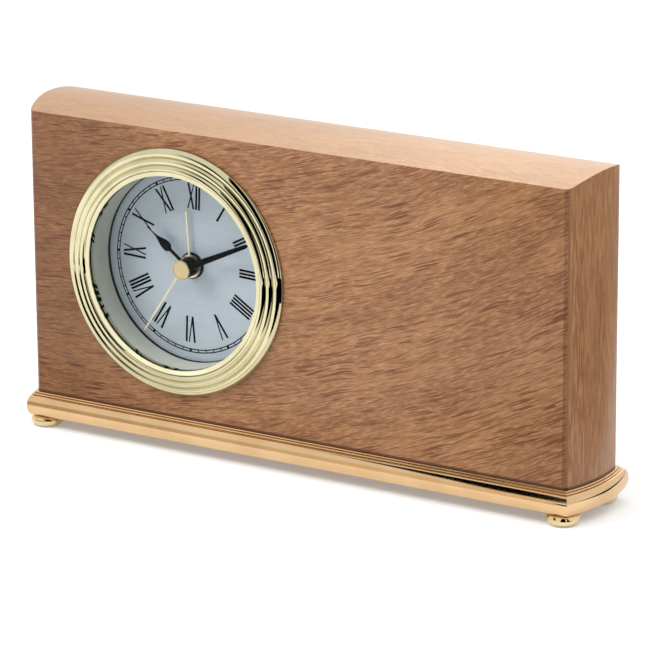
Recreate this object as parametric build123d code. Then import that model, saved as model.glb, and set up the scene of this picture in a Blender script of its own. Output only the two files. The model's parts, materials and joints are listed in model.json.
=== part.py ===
from build123d import *
import os
from math import atan2, cos, degrees, floor, hypot, radians, sin

os.makedirs("parts", exist_ok=True)

# Wooden desk clock, in millimetres: +Z up, the clock face looks towards -Y.
# The origin is at floor level, under the middle of the moulded base.

# Wooden block
block_width = 174.1
block_height = 83.4
block_depth = 25.5
end_flare_width = 1.9
top_flare_height = 1.5
face_bow_depth = 1.95
corner_radius = 2.2
edge_break_width = 0.35

# Moulded base
base_thickness = 7.0
reed_radius = 0.25
reed_1_width = 0.65
reed_2_width = 1.25
reed_facets = 3
nose_seat_width = 1.25
nose_width = 1.55
nose_facets = 8
base_screw_spacing = 118.0
base_screw_radius = 1.75
base_screw_length = 20.0
base_head_radius = 3.6
base_head_height = 2.2
base_slot_width = 1.1
base_slot_depth = 0.8

# Bun feet
foot_radius = 4.75
foot_height = 3.2
foot_flat_radius = 3.1
foot_facets = 6
foot_inset_side = 1.9
foot_inset_front = 2.1
foot_stud_radius = 1.5
foot_stud_length = 4.5

# Clock insert and its place in the block
clock_margin_width = 48.8
clock_rise_height = 0.9
insert_hole_radius = 30.2
bezel_lap_width = 5.8
bezel_recess_width = 1.8
bezel_height = 2.8
bezel_shelf_height = 1.42
seat_gap = 0.05
ring_facets = 4
ring_edge_shares = (0, 0.33, 0.585, 1)
ring_groove_shares = (0.12, 0.54, 0.76, 0.82)
ring_crest_shares = (0.68, 0.87, 1)

# Clear lens and the reflector ring behind it
lens_lap_width = 0.65
lens_thickness = 0.7
reflector_flange_gap = 1.2
reflector_wall = 0.45
reflector_gap = 0.05
shadow_gap = 0.3

# Dial
dial_depth = 8.75
dial_gap = 0.25
dial_thickness = 0.4
nut_radius = 3.8
nut_height = 0.6

# Barrel, grip band and back cover
barrel_gap = 0.7
barrel_wall = 0.8
barrel_flange_gap = 0.2
barrel_flange_thickness = 0.4
band_gap = 0.2
band_width = 4.0
band_start_depth = 4.0
band_rib_height = 0.25
band_rib_count = 3
cover_thickness = 0.9
cover_gap = 1.0
boss_radius = 1.7
boss_gap = 0.2
boss_length = 8.5
boss_angles = (90, 210, 330)

# Movement plates and the layers of wheels between them
front_plate_thickness = 1.05
mid_plate_thickness = 0.5
rear_plate_thickness = 0.6
plate_radius = 18.6
plate_cut_depth = 9.3
layer_gap = 0.3
wheel_thickness = 0.7
pillar_radius = 1.3
pillar_circle_radii = (14.4, 16.8, 16.2)
pillar_angles = (197.0, 3.4, 93.5)

# Wheels: tooth counts, modules and centre distances
centre_teeth = 48
third_leaves = 6
third_teeth = 45
fourth_leaves = 6
fourth_teeth = 30
fifth_leaves = 6
fifth_teeth = 36
rotor_leaves = 6
cannon_leaves = 10
minute_teeth = 30
minute_leaves = 10
hour_teeth = 40
time_leaves = 10
alarm_teeth = 28
alarm_leaves = 20
third_place_radius = 8.16
fifth_place_radius = 6.0
rotor_place_radius = 5.67
minute_place_radius = 6.72
alarm_place_radius = 9.6
third_angle = 60.0
fifth_angle = 150.0
rotor_angle = 150.0
minute_wheel_angle = -35.0
time_angle = 0.0
alarm_arbor_angle = 215.0
wheel_tooth_shares = (0.31, 0.11)
wheel_reach_shares = (1.2, 0.9)
leaf_tooth_shares = (0.23, 0.13)
leaf_reach_shares = (1.3, 0.65)
minute_post_radius = 0.55
minute_neck_radius = 1.1

# Concentric arbor, tubes and bush in the middle of the dial
seconds_arbor_radius = 0.5
tube_wall = 0.5
bush_wall = 0.55
running_fit = 0.05
press_fit = 0.02

# Hands, as angles clockwise from twelve, and their levels in front of the dial
hour_angle = 306.5
minute_angle = 65.5
second_angle = 213.6
alarm_angle = 356.0
hand_thickness = 0.22
alarm_hand_height = 1.0
hour_hand_height = 2.25
minute_hand_height = 3.8
second_hand_height = 5.3
cap_radius = 2.8
cap_height = 0.5
cap_edge_width = 0.12
collar_radius = 2.75
collar_gap = 0.15
hour_length = 16.9
hour_stem_width = 0.95
hour_belly_width = 2.9
hour_stem_length = 7.3
hour_belly_length = 8.9
hour_shoulder_length = 12.4
hour_shoulder_width = 0.95
minute_length = 23.8
minute_root_width = 1.5
minute_end_width = 1.05
minute_point_length = 1.6
second_length = 23.6
second_root_width = 0.45
second_blade_width = 0.8
second_blade_length = 14.0
second_tip_width = 0.45
alarm_length = 16.0
alarm_width = 0.55
alarm_hub_radius = 3.4
needle_width = 0.25

# Stepping motor
magnet_radius = 2.4
stator_thickness = 0.6
stator_clearance = 0.35
stator_ring_width = 1.5
stator_arm_width = 2.5
core_plate_gap = 3.8
core_top = 11.0
core_bottom = -8.0
core_width = 1.6
core_thickness = 0.9
core_end_radius = 1.6
winding_radius = 2.1
winding_length = 9.0
motor_arbor_radius = 0.35

# Circuit board and sounder
board_gap = 1.7
board_width = 7.4
board_thickness = 0.6
board_start_angle = -12.0
board_end_angle = 58.0
board_pillar_shares = (0.12, 0.88)
chip_radius = 2.1
chip_height = 0.9
chip_angle = 22.0
crystal_radius = 0.95
crystal_length = 5.6
crystal_angle = 36.0
piezo_x = -11.0
piezo_y = 17.0
piezo_radius = 7.0
piezo_thickness = 0.3
piezo_ceramic_radius = 4.6
piezo_ceramic_thickness = 0.2

# Cell, its box in the back cover and the contacts
cell_radius = 6.0
cell_length = 28.6
cell_nub_radius = 2.0
cell_nub_length = 1.6
cell_plate_gap = 0.7
cell_front_gap = 1.2
cell_clearance = 0.3
box_wall = 0.8
box_gap = 0.3
contact_thickness = 0.3
contact_width = 5.0
contact_reach_length = 0.9
contact_fold_height = 0.6
door_thickness = 0.8
door_gap = 0.2
door_clearance = 0.15
door_notch_radius = 2.4

# Setting knobs and the alarm switch
knob_radius = 3.0
knob_height = 2.8
knob_gap = 0.3
knob_flute_radius = 0.45
knob_flutes = 10
knob_arbor_radius = 0.8
switch_x = -17.0
switch_y = 8.0
switch_length = 4.0
switch_height = 2.4
switch_travel_length = 3.0
switch_button_length = 2.0
switch_button_height = 1.6
switch_stem_width = 1.4
switch_shoe_thickness = 0.6

# Small screws
screw_radius = 0.6
screw_fit = 0.05
screw_head_radius = 1.15
screw_head = 0.55
screw_grip = 3.0
slot_width = 0.35
slot_depth = 0.25

# One overrun serves all cuts
over = 1.0

FLOOR = (Align.CENTER, Align.CENTER, Align.MIN)

# Heights and places that follow
block_bottom = foot_height + base_thickness
front_top = block_bottom + block_height
half_width = block_width / 2
half_depth = block_depth / 2
clock_x = clock_margin_width - half_width
clock_z = block_bottom + block_height / 2 + clock_rise_height
screw_top = foot_height + base_screw_length
head_top = foot_height + base_head_height
stud_top = foot_height + foot_stud_length + screw_fit
foot_x = half_width - foot_inset_side
foot_y = half_depth - foot_inset_front
foot_places = {
    "foot_front_left": (-foot_x, -foot_y),
    "foot_front_right": (foot_x, -foot_y),
    "foot_back_left": (-foot_x, foot_y),
    "foot_back_right": (foot_x, foot_y),
}

# Radii of the insert, from the hole outwards and inwards
bezel_radius = insert_hole_radius + bezel_lap_width
bezel_recess_radius = insert_hole_radius + bezel_recess_width
barrel_flange_radius = bezel_recess_radius - barrel_flange_gap
reflector_flange_radius = bezel_recess_radius - reflector_flange_gap
band_radius = insert_hole_radius - band_gap
barrel_radius = insert_hole_radius - barrel_gap
barrel_bore_radius = barrel_radius - barrel_wall
bezel_bore_radius = barrel_bore_radius - reflector_gap - reflector_wall
lens_radius = bezel_bore_radius + lens_lap_width
dial_radius = barrel_bore_radius - dial_gap
boss_circle_radius = barrel_radius - boss_radius - boss_gap
box_limit_radius = barrel_bore_radius - box_gap
board_outer_radius = barrel_bore_radius - board_gap
board_inner_radius = board_outer_radius - board_width
board_circle_radius = (board_outer_radius + board_inner_radius) / 2

# Levels along the clock's own axis, negative behind the front of the block
dial_front = -dial_depth
dial_back = dial_front - dial_thickness
front_plate_back = dial_back - front_plate_thickness
layer_pitch = wheel_thickness + layer_gap
alarm_layer = front_plate_back - layer_pitch
hour_layer = alarm_layer - layer_pitch
cannon_layer = hour_layer - layer_pitch
centre_layer = cannon_layer - layer_pitch
mid_plate_back = centre_layer - layer_gap - mid_plate_thickness
third_layer = mid_plate_back - layer_pitch
fourth_layer = third_layer - layer_pitch
fifth_layer = fourth_layer - layer_pitch
rear_plate_front = fifth_layer - layer_gap
rear_plate_back = rear_plate_front - rear_plate_thickness
stator_front = mid_plate_back - layer_pitch - layer_gap
core_front = stator_front - stator_thickness
core_back = core_front - core_thickness
board_front = fourth_layer
cover_front = rear_plate_back - cover_gap
cover_back = cover_front - cover_thickness
knob_front = cover_back - knob_gap
knob_end = knob_front - knob_height
flange_low = seat_gap + barrel_flange_thickness
lens_front = bezel_shelf_height - press_fit
alarm_low = dial_front + alarm_hand_height
hour_low = dial_front + hour_hand_height
minute_low = dial_front + minute_hand_height
second_low = dial_front + second_hand_height
alarm_high = alarm_low + hand_thickness
hour_high = hour_low + hand_thickness + layer_gap
minute_high = minute_low + hand_thickness + layer_gap

# The cell's axis and its box
cell_y = -(plate_cut_depth + cell_plate_gap + cell_radius)
cell_z = front_plate_back - cell_front_gap - cell_radius
box_back = cell_z - cell_radius - door_gap - door_thickness
cell_room = cell_radius + cell_clearance
cell_total = cell_length + cell_nub_length
box_half_length = cell_total / 2 + contact_reach_length + contact_thickness + box_wall
box_half_height = cell_room + box_wall

# Radii of the concentric tubes
cannon_bore = seconds_arbor_radius + running_fit
cannon_tube = cannon_bore + tube_wall
hour_bore = cannon_tube + running_fit
hour_tube = hour_bore + tube_wall
alarm_bore = hour_tube + running_fit
alarm_tube = alarm_bore + tube_wall
bush_bore = alarm_tube + running_fit
bush_radius = bush_bore + bush_wall


def polar(radius, degree, start=(0, 0)):
    """Point at a radius and an angle from a start point."""
    angle = radians(degree)
    return (start[0] + radius * cos(angle), start[1] + radius * sin(angle))


centre_place = (0, 0)
third_place = polar(third_place_radius, third_angle)
fifth_place = polar(fifth_place_radius, fifth_angle)
rotor_place = polar(rotor_place_radius, rotor_angle, fifth_place)
minute_place = polar(minute_place_radius, minute_wheel_angle)
time_place = polar(minute_place_radius, time_angle, minute_place)
alarm_place = polar(alarm_place_radius, alarm_arbor_angle)
pillar_places = [polar(*spot) for spot in zip(pillar_circle_radii, pillar_angles)]
core_x = -(plate_radius + core_plate_gap)
core_places = [(core_x, core_top), (core_x, core_bottom)]
board_places = []
for board_pillar_share in board_pillar_shares:
    board_angle = board_start_angle + board_pillar_share * (board_end_angle - board_start_angle)
    board_places.append(polar(board_circle_radius, board_angle))

# Frame of the clock insert: its z runs out of the dial, its y runs up
clock_frame = Plane(origin=(clock_x, -half_depth, clock_z), x_dir=(1, 0, 0), z_dir=(0, -1, 0))


def rod(radius, low, high, place=(0, 0)):
    """Round bar along z between two levels."""
    return Pos(place[0], place[1], low) * Cylinder(radius, high - low, align=FLOOR)


def tube(bore, radius, low, high, place=(0, 0)):
    """Round tube along z between two levels."""
    return rod(radius, low, high, place) - rod(bore, low - over, high + over, place)


def slab(length, width, low, high, place=(0, 0)):
    """Box between two levels, centred on a place."""
    return Pos(place[0], place[1], low) * Box(length, width, high - low, align=FLOOR)


def turned(*edges):
    """Body of revolution about z from a closed outline in radius and height."""
    return revolve(Plane.XZ * make_face(edges), Axis.Z)


def bowed(start, end, bow):
    """Arc from start to end that bulges to the right of its run."""
    run = (end[0] - start[0], end[1] - start[1])
    length = hypot(run[0], run[1])
    middle = ((start[0] + end[0]) / 2, (start[1] + end[1]) / 2)
    peak = (middle[0] + run[1] / length * bow, middle[1] - run[0] / length * bow)
    return ThreePointArc(start, peak, end)


def arc_points(centre, radii, start_angle, turn, count):
    """Points that divide an elliptical arc into straight facets."""
    points = []
    for step in range(count + 1):
        angle = radians(start_angle + turn * step / count)
        points.append((centre[0] + radii[0] * cos(angle), centre[1] + radii[1] * sin(angle)))
    return points


def bow_circle(start, end, bow):
    """Centre and radius of the same arc."""
    run = (end[0] - start[0], end[1] - start[1])
    length = hypot(run[0], run[1])
    radius = (length**2 / 4 + bow**2) / (2 * bow)
    middle = ((start[0] + end[0]) / 2, (start[1] + end[1]) / 2)
    back = (radius - bow) / length
    return (middle[0] - run[1] * back, middle[1] + run[0] * back), radius


def save(shape, name):
    """Write one node."""
    export_step(shape, "parts/" + name + ".step")


def save_clock(shape, name):
    """Write one node of the insert, moved from the clock's frame into the block."""
    save(clock_frame.location * shape, name)


# Block: ends and top share one bowed section, and meet along curved mitres
front_right = (half_width, -half_depth)
back_right = (half_width + end_flare_width, half_depth)
back_left = (-half_width - end_flare_width, half_depth)
front_left = (-half_width, -half_depth)


def wood_block():
    plan = make_face(
        [
            Line(front_left, front_right),
            bowed(front_right, back_right, face_bow_depth),
            Line(back_right, back_left),
            bowed(back_left, front_left, face_bow_depth),
        ]
    )
    plan = fillet(plan.vertices(), corner_radius)
    tall = front_top + top_flare_height + face_bow_depth + over
    column = Pos(0, 0, block_bottom) * extrude(plan, amount=tall - block_bottom)
    top_back = (half_depth, front_top + top_flare_height)
    top_front = (-half_depth, front_top)
    side = make_face(
        [
            Polyline(top_front, (-half_depth, block_bottom), (half_depth, block_bottom), top_back),
            bowed(top_back, top_front, face_bow_depth),
        ]
    )
    reach = half_width + end_flare_width + face_bow_depth + over
    rail = Pos(-reach, 0, 0) * extrude(Plane.YZ * side, amount=2 * reach)
    block = column & rail
    front = block.faces().sort_by(Axis.Y)[0]
    back = block.faces().sort_by(Axis.Y)[-1]
    long_edges = (front.edges() + back.edges()).filter_by(Axis.X)
    block = chamfer(long_edges, edge_break_width)
    hole = clock_frame.location * rod(insert_hole_radius, -block_depth - over, over)
    block -= hole
    for side_sign in (-1, 1):
        pilot = rod(base_screw_radius + screw_fit, block_bottom - over, screw_top)
        block -= Pos(side_sign * base_screw_spacing / 2, 0, 0) * pilot
    return block


# Base: two reeds and a bullnose, mitred round the footprint of the block
def moulding(seat, side):
    """Outline of the moulding from top to bottom, outward along side from its seat."""
    quarter = 90
    level = block_bottom - reed_radius
    points = []
    for reed_width in (reed_1_width, reed_2_width):
        middle = (seat + side * (reed_width - reed_radius), level)
        points += arc_points(middle, (side * reed_radius, reed_radius), quarter, -2 * quarter, reed_facets)
        level -= 2 * reed_radius
    nose_height = (level + reed_radius - foot_height) / 2
    middle = (seat + side * nose_seat_width, foot_height + nose_height)
    points += arc_points(middle, (side * nose_width, nose_height), quarter, -2 * quarter, nose_facets)
    return points


def base_plate():
    front = moulding(-half_depth, -1)
    back = moulding(half_depth, 1)
    section = make_face(Polyline(*front, *reversed(back), close=True))
    reach = half_width + end_flare_width + face_bow_depth + nose_seat_width + nose_width
    plate = Pos(-reach, 0, 0) * extrude(Plane.YZ * section, amount=2 * reach)
    centre, radius = bow_circle(front_right, back_right, face_bow_depth)
    outline = moulding(radius, 1)
    far = radius + 2 * (nose_seat_width + nose_width + face_bow_depth + end_flare_width) + over
    above = [(far, block_bottom + over), (outline[0][0], block_bottom + over)]
    below = [(outline[-1][0], foot_height - over), (far, foot_height - over)]
    waste = make_face(Polyline(*above, *outline, *below, close=True))
    cutter = revolve(Plane.XZ * waste, Axis.Z, 360)
    keep_side = Pos(far, 0, 0) * Box(2 * far, 4 * far, 4 * far)
    right = Pos(centre[0], centre[1], 0) * (cutter & keep_side)
    plate -= right
    plate -= mirror(right, Plane.YZ)
    for side_sign in (-1, 1):
        place = (side_sign * base_screw_spacing / 2, 0)
        plate -= rod(base_screw_radius + screw_fit, foot_height - over, block_bottom + over, place)
        plate -= rod(base_head_radius + screw_fit, foot_height - over, head_top, place)
    for place in foot_places.values():
        plate -= rod(foot_stud_radius + screw_fit, foot_height - over, stud_top, place)
    return plate


def base_screws():
    screws = []
    for side_sign in (-1, 1):
        place = (side_sign * base_screw_spacing / 2, 0)
        head = rod(base_head_radius, foot_height, head_top - screw_fit, place)
        shank = rod(base_screw_radius, foot_height, screw_top - screw_fit, place)
        slot_top = foot_height + base_slot_depth
        slot = slab(2 * base_head_radius, base_slot_width, foot_height - over, slot_top, place)
        screws.append(head + shank - slot)
    return Compound(children=screws)


def foot(place):
    """Bun foot with a stud that goes up into the base."""
    middle = (foot_flat_radius, foot_height / 2)
    radii = (foot_radius - foot_flat_radius, foot_height / 2)
    side = arc_points(middle, radii, -90, 180, foot_facets)
    bun = turned(Polyline((0, 0), *side, (0, foot_height), close=True))
    stud = rod(foot_stud_radius, foot_height, stud_top - screw_fit)
    return Pos(place[0], place[1], 0) * (bun + stud)


# Bezel: three rings that step up towards the lens
def ring_points(start, crest, end):
    """Facets of one rounded ring, on the parabola through its foot, crest and foot."""
    points = []
    for step in range(1, ring_facets + 1):
        share = step / ring_facets
        height = start[1] * (1 - share) ** 2 + end[1] * share**2
        height += 2 * share * (1 - share) * (2 * crest - (start[1] + end[1]) / 2)
        points.append((start[0] + (end[0] - start[0]) * share, height))
    return points


def bezel():
    band = bezel_radius - bezel_bore_radius
    points = [(bezel_radius, seat_gap), (bezel_radius, ring_groove_shares[0] * bezel_height)]
    for ring, crest in enumerate(ring_crest_shares):
        inner = bezel_radius - band * ring_edge_shares[ring + 1]
        end = (inner, bezel_height * ring_groove_shares[ring + 1])
        points += ring_points(points[-1], crest * bezel_height, end)
    points += [
        (bezel_bore_radius, bezel_shelf_height),
        (bezel_recess_radius, bezel_shelf_height),
        (bezel_recess_radius, seat_gap),
    ]
    return turned(Polyline(*points, close=True))


# Reflector ring, which carries the lens in a rebate
def reflector_ring():
    tube_radius = bezel_bore_radius + reflector_wall
    rebate = lens_front - lens_thickness - press_fit
    return turned(
        Polyline(
            (bezel_bore_radius, dial_front + shadow_gap),
            (tube_radius, dial_front + shadow_gap),
            (tube_radius, flange_low + press_fit),
            (reflector_flange_radius, flange_low + press_fit),
            (reflector_flange_radius, lens_front),
            (lens_radius + press_fit, lens_front),
            (lens_radius + press_fit, rebate),
            (bezel_bore_radius, rebate),
            (bezel_bore_radius, dial_front + shadow_gap),
        )
    )


def lens():
    return rod(lens_radius, lens_front - lens_thickness, lens_front)


def dial():
    return tube(bush_radius + press_fit, dial_radius, dial_back, dial_front)


def dial_nut():
    return tube(bush_radius + press_fit, nut_radius, dial_front, dial_front + nut_height)


# Barrel: flange in front, screw bosses inside the rear end
def boss_places():
    return [polar(boss_circle_radius, angle) for angle in boss_angles]


def case_barrel():
    bore = barrel_radius - barrel_wall
    shell = turned(
        Polyline(
            (bore, cover_front),
            (barrel_radius, cover_front),
            (barrel_radius, seat_gap),
            (barrel_flange_radius, seat_gap),
            (barrel_flange_radius, flange_low),
            (bore, flange_low),
            (bore, cover_front),
        )
    )
    limit = rod(barrel_radius - barrel_wall / 2, cover_front, cover_front + boss_length)
    for place in boss_places():
        boss = rod(boss_radius, cover_front, cover_front + boss_length, place) & limit
        hole = rod(screw_radius + screw_fit, cover_front - over, cover_front + screw_grip, place)
        shell = shell + boss - hole
    return shell


def grip_band():
    """Rubber band round the barrel, with low ribs that hold it in the wood."""
    bore = barrel_radius + press_fit
    high = -band_start_depth
    rib_pitch = band_width / band_rib_count
    corners = [(bore, high), (band_radius - band_rib_height, high)]
    for rib in range(band_rib_count):
        top = high - rib * rib_pitch
        corners.append((band_radius, top - rib_pitch / 3))
        corners.append((band_radius, top - rib_pitch * 2 / 3))
        corners.append((band_radius - band_rib_height, top - rib_pitch))
    corners += [(bore, high - band_width), (bore, high)]
    return turned(Polyline(*corners))


# Movement plates
def bearing(radius, low, high, place):
    return rod(radius + running_fit, low - over, high + over, place)


def front_plate():
    """Moulded plate behind the dial, with the centre bush, posts and pillars."""
    plate = rod(dial_radius, front_plate_back, dial_back)
    plate += rod(bush_radius, dial_back - press_fit, dial_front + nut_height)
    plate -= rod(bush_bore, front_plate_back - over, dial_front + nut_height + over)
    plate += rod(minute_post_radius, cannon_layer, front_plate_back + press_fit, minute_place)
    pillars = [(place, rear_plate_front) for place in pillar_places]
    pillars += [(place, stator_front) for place in core_places]
    pillars += [(place, board_front) for place in board_places]
    for place, end in pillars:
        plate += rod(pillar_radius, end, front_plate_back + press_fit, place)
        plate -= rod(screw_radius + screw_fit, end - over, end + screw_grip, place)
    return plate


def d_plate(low, high):
    """Round plate cut straight across below the wheels, clear of the cell."""
    plate = rod(plate_radius, low, high)
    cut = slab(2 * plate_radius, plate_radius, low - over, high + over)
    return plate - Pos(0, -plate_cut_depth - plate_radius / 2, 0) * cut


def bored(plate, low, high):
    """Plate with the bearing holes of every arbor that passes it."""
    plate -= bearing(seconds_arbor_radius, low, high, centre_place)
    for place in (third_place, fifth_place, rotor_place):
        plate -= bearing(motor_arbor_radius, low, high, place)
    for place in (time_place, alarm_place):
        plate -= bearing(knob_arbor_radius, low, high, place)
    return plate


def middle_plate():
    low, high = mid_plate_back, mid_plate_back + mid_plate_thickness
    plate = d_plate(low, high)
    for place in pillar_places:
        plate -= rod(pillar_radius + press_fit, low - over, high + over, place)
    return bored(plate, low, high)


def rear_plate():
    low, high = rear_plate_back, rear_plate_front
    plate = d_plate(low, high)
    for place in pillar_places:
        plate -= rod(screw_radius + screw_fit, low - over, high + over, place)
    return bored(plate, low, high)


def small_screw(seat, place):
    """Slotted screw that enters from behind, its head under the seat level."""
    end = seat - screw_head
    head = rod(screw_head_radius, end, seat, place)
    shank = rod(screw_radius, end, seat + screw_grip - screw_fit, place)
    slot = slab(2 * screw_head_radius + over, slot_width, end - over, end + slot_depth, place)
    return head + shank - slot


def plate_screws():
    return Compound(children=[small_screw(rear_plate_back, place) for place in pillar_places])


def coil_screws():
    return Compound(children=[small_screw(core_back, place) for place in core_places])


def board_screws():
    seat = board_front - board_thickness
    return Compound(children=[small_screw(seat, place) for place in board_places])


def cover_screws():
    return Compound(children=[small_screw(cover_back, place) for place in boss_places()])


# Toothed wheels
def toothed(teeth, pitch_radius, low, place, phase, tooth_shares, reach_shares):
    """Wheel or pinion with straight-flanked teeth; phase is the bearing of one tooth."""
    module = 2 * pitch_radius / teeth
    root = pitch_radius - reach_shares[0] * module
    tip = pitch_radius + reach_shares[1] * module
    step = 360 / teeth
    corners = []
    for tooth in range(teeth):
        middle = phase + tooth * step
        corners.append(polar(root, middle - tooth_shares[0] * step, place))
        corners.append(polar(tip, middle - tooth_shares[1] * step, place))
        corners.append(polar(tip, middle + tooth_shares[1] * step, place))
        corners.append(polar(root, middle + tooth_shares[0] * step, place))
    face = make_face(Polyline(*corners, close=True))
    return Pos(0, 0, low) * extrude(face, amount=wheel_thickness)


def pitch(distance, teeth, mate_teeth):
    """Pitch radius of the gear with the given teeth."""
    return distance * teeth / (teeth + mate_teeth)


def wheel(teeth, mate_teeth, distance, low, place, phase):
    radius = pitch(distance, teeth, mate_teeth)
    return toothed(teeth, radius, low, place, phase, wheel_tooth_shares, wheel_reach_shares)


def pinion(teeth, mate_teeth, distance, low, place, phase):
    radius = pitch(distance, teeth, mate_teeth)
    return toothed(teeth, radius, low, place, phase, leaf_tooth_shares, leaf_reach_shares)


def meshed(bearing_to_mate, teeth, phase, mate_teeth):
    """Phase that sets a mate's tooth into the gap of a gear with the given phase."""
    lag = (bearing_to_mate - phase) * teeth / 360
    lag -= floor(lag)
    return bearing_to_mate + 180 - (0.5 - lag) * 360 / mate_teeth


centre_phase = 0.0
third_phase = meshed(third_angle, centre_teeth, centre_phase, third_leaves)
fourth_phase = meshed(third_angle + 180, third_teeth, third_phase, fourth_leaves)
fifth_phase = meshed(fifth_angle, fourth_teeth, fourth_phase, fifth_leaves)
rotor_phase = meshed(rotor_angle, fifth_teeth, fifth_phase, rotor_leaves)
cannon_phase = 0.0
minute_phase = meshed(minute_wheel_angle, cannon_leaves, cannon_phase, minute_teeth)
time_phase = meshed(time_angle, minute_teeth, minute_phase, time_leaves)
hour_phase = meshed(minute_wheel_angle + 180, minute_leaves, minute_phase, hour_teeth)
alarm_phase = 0.0
alarm_leaf_phase = meshed(alarm_arbor_angle, alarm_teeth, alarm_phase, alarm_leaves)


def seconds_wheel():
    """Arbor through the whole movement, with its wheel and pinion."""
    gear = wheel(fourth_teeth, fifth_leaves, fifth_place_radius, fourth_layer, centre_place, fourth_phase)
    leaves = pinion(fourth_leaves, third_teeth, third_place_radius, third_layer, centre_place, fourth_phase)
    link = rod(seconds_arbor_radius, fourth_layer, third_layer + wheel_thickness)
    return gear + leaves + link + rod(seconds_arbor_radius, rear_plate_back, second_low + hand_thickness)


def centre_wheel():
    gear = wheel(centre_teeth, third_leaves, third_place_radius, centre_layer, centre_place, centre_phase)
    hub = rod(cannon_tube, centre_layer - layer_gap / 2, cannon_layer - running_fit)
    return gear + hub - rod(cannon_bore, centre_layer - over, cannon_layer + over)


def third_wheel():
    arbor = rod(motor_arbor_radius, rear_plate_back, centre_layer + wheel_thickness, third_place)
    leaves = pinion(third_leaves, centre_teeth, third_place_radius, centre_layer, third_place, third_phase)
    gear = wheel(third_teeth, fourth_leaves, third_place_radius, third_layer, third_place, third_phase)
    return arbor + leaves + gear


def fifth_wheel():
    arbor = rod(motor_arbor_radius, rear_plate_back, mid_plate_back + mid_plate_thickness, fifth_place)
    leaves = pinion(fifth_leaves, fourth_teeth, fifth_place_radius, fourth_layer, fifth_place, fifth_phase)
    gear = wheel(fifth_teeth, rotor_leaves, rotor_place_radius, fifth_layer, fifth_place, fifth_phase)
    return arbor + leaves + gear


def rotor_pinion():
    arbor = rod(motor_arbor_radius, rear_plate_back, mid_plate_back + mid_plate_thickness, rotor_place)
    leaves = pinion(rotor_leaves, fifth_teeth, rotor_place_radius, fifth_layer, rotor_place, rotor_phase)
    return arbor + leaves


def rotor_magnet():
    bore = motor_arbor_radius + press_fit
    return tube(bore, magnet_radius, fourth_layer, third_layer + wheel_thickness, rotor_place)


def cannon_pinion():
    place_radius = minute_place_radius
    leaves = pinion(cannon_leaves, minute_teeth, place_radius, cannon_layer, centre_place, cannon_phase)
    sleeve = rod(cannon_tube, cannon_layer, minute_high)
    return leaves + sleeve - rod(cannon_bore, cannon_layer - over, minute_high + over)


def minute_wheel():
    gear = wheel(minute_teeth, cannon_leaves, minute_place_radius, cannon_layer, minute_place, minute_phase)
    leaves = pinion(minute_leaves, hour_teeth, minute_place_radius, hour_layer, minute_place, minute_phase)
    neck = rod(minute_neck_radius, cannon_layer, hour_layer + wheel_thickness, minute_place)
    return gear + leaves + neck - bearing(minute_post_radius, cannon_layer, hour_layer, minute_place)


def hour_wheel():
    gear = wheel(hour_teeth, minute_leaves, minute_place_radius, hour_layer, centre_place, hour_phase)
    sleeve = rod(hour_tube, hour_layer, hour_high)
    return gear + sleeve - rod(hour_bore, hour_layer - over, hour_high + over)


def alarm_wheel():
    gear = wheel(alarm_teeth, alarm_leaves, alarm_place_radius, alarm_layer, centre_place, alarm_phase)
    sleeve = rod(alarm_tube, alarm_layer, alarm_high)
    return gear + sleeve - rod(alarm_bore, alarm_layer - over, alarm_high + over)


def time_arbor():
    leaves = pinion(time_leaves, minute_teeth, minute_place_radius, cannon_layer, time_place, time_phase)
    return leaves + rod(knob_arbor_radius, knob_end, cannon_layer + wheel_thickness, time_place)


def alarm_arbor():
    place_radius = alarm_place_radius
    leaves = pinion(alarm_leaves, alarm_teeth, place_radius, alarm_layer, alarm_place, alarm_leaf_phase)
    return leaves + rod(knob_arbor_radius, knob_end, alarm_layer + wheel_thickness, alarm_place)


# Hands, drawn towards twelve and turned to their angles
def blade(right_side, low):
    """Flat hand from its right-hand outline, mirrored about the line to its tip."""
    left_side = [(-x, y) for x, y in reversed(right_side)]
    face = make_face(Polyline(*right_side, *left_side, close=True))
    return Pos(0, 0, low) * extrude(face, amount=hand_thickness)


def clockwise(shape, angle):
    return Rot(0, 0, -angle) * shape


def hour_hand():
    stem, belly = hour_stem_width / 2, hour_belly_width / 2
    shoulder, needle = hour_shoulder_width / 2, needle_width / 2
    outline = [
        Line((stem, 0), (stem, hour_stem_length)),
        ThreePointArc(
            (stem, hour_stem_length),
            ((stem + belly) / 2 + stem / 2, (hour_stem_length + hour_belly_length) / 2 - stem / 2),
            (belly, hour_belly_length),
        ),
        Spline(
            (belly, hour_belly_length),
            (shoulder, hour_shoulder_length),
            (needle, hour_length),
            tangents=[(0, 1), (0, 1)],
        ),
        Line((needle, hour_length), (0, hour_length)),
        Line((0, hour_length), (0, 0)),
        Line((0, 0), (stem, 0)),
    ]
    half = extrude(make_face(outline), amount=hand_thickness)
    flat = Pos(0, 0, hour_low) * (half + mirror(half, Plane.YZ))
    collar = rod(collar_radius, alarm_high + collar_gap, minute_low - collar_gap - layer_gap)
    bore = rod(hour_tube + press_fit, alarm_low - over, hour_high + press_fit)
    passage = rod(cannon_tube + running_fit, alarm_low - over, minute_low + over)
    return clockwise(flat + collar - bore - passage, hour_angle)


def minute_hand():
    root, end = minute_root_width / 2, minute_end_width / 2
    outline = [(root, 0), (end, minute_length - minute_point_length), (needle_width / 2, minute_length)]
    collar = rod(collar_radius, minute_low - layer_gap, second_low - collar_gap)
    bore = rod(cannon_tube + press_fit, minute_low - over, minute_high + press_fit)
    passage = rod(cannon_bore, minute_low - over, second_low + over)
    return clockwise(blade(outline, minute_low) + collar - bore - passage, minute_angle)


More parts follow.
